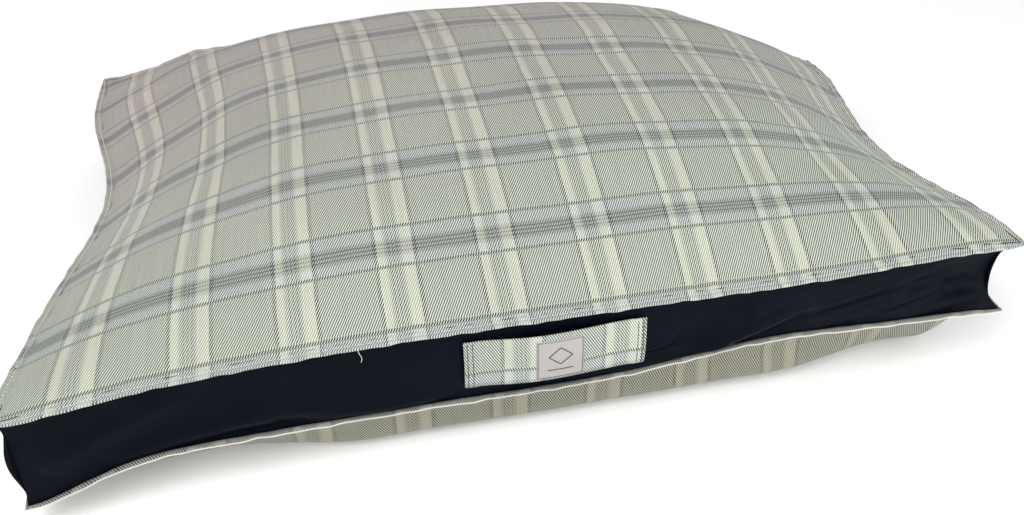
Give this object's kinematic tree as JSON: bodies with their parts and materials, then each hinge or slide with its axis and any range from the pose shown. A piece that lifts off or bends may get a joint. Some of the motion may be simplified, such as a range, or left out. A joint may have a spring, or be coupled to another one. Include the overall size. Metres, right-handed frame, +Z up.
{
  "type": "pet cushion bed",
  "caption": "Boxed pet cushion bed with crowned plaid top and base, dark nylon walls, a carry handle on the front wall and a zip along the rear wall.",
  "frame": {"origin": "on the floor, under the middle of the cushion", "axes": "+X along the width, -Y towards the front wall with the carry handle, +Z up"},
  "size_m": [1.018, 0.718, 0.238],
  "materials": {
    "plaid_cloth": "woven plaid twill, grey and cream with dark threads",
    "black_nylon": "coated nylon with a soft sheen",
    "dark_thread": "matte sewing thread",
    "label_cloth": "woven satin",
    "zip_tape": "woven tape",
    "zip_coil": "moulded nylon coil",
    "zip_metal": "dark enamel over zinc",
    "calico": "plain cotton",
    "fibre": "polyester fibre"
  },
  "bodies": {
    "cushion": {"top_panel": "plaid_cloth", "bottom_panel": "plaid_cloth", "front_gusset": "black_nylon", "left_gusset": "black_nylon", "right_gusset": "black_nylon", "rear_gusset_lower": "black_nylon", "rear_gusset_upper": "black_nylon", "carry_handle": "plaid_cloth", "handle_stitching_left": "dark_thread", "handle_stitching_right": "dark_thread", "woven_label": "label_cloth", "care_label": "label_cloth", "zip_tape_lower": "zip_tape", "zip_tape_upper": "zip_tape", "zip_coil_lower": "zip_coil", "zip_coil_upper": "zip_coil", "zip_closing_stop_lower": "zip_metal", "zip_closing_stop_upper": "zip_metal", "zip_start_stop": "zip_metal", "liner_top": "calico", "liner_base": "calico", "liner_band": "calico", "fibre_fill": "fibre"},
    "zip_slider": {"zip_slider": "zip_metal"},
    "zip_pull_tab": {"zip_pull_tab": "zip_metal"}
  },
  "joints": [
    {"name": "zip_slide", "type": "slide", "parent": "cushion", "child": "zip_slider", "axis": [-1, 0, 0], "range_m": [0, 0.675]},
    {"name": "pull_tab_hinge", "type": "hinge", "parent": "zip_slider", "child": "zip_pull_tab", "pos_m": [0.3377, 0.34025, 0.1], "axis": [0, 0, -1], "range_deg": [0, 180]}
  ]
}
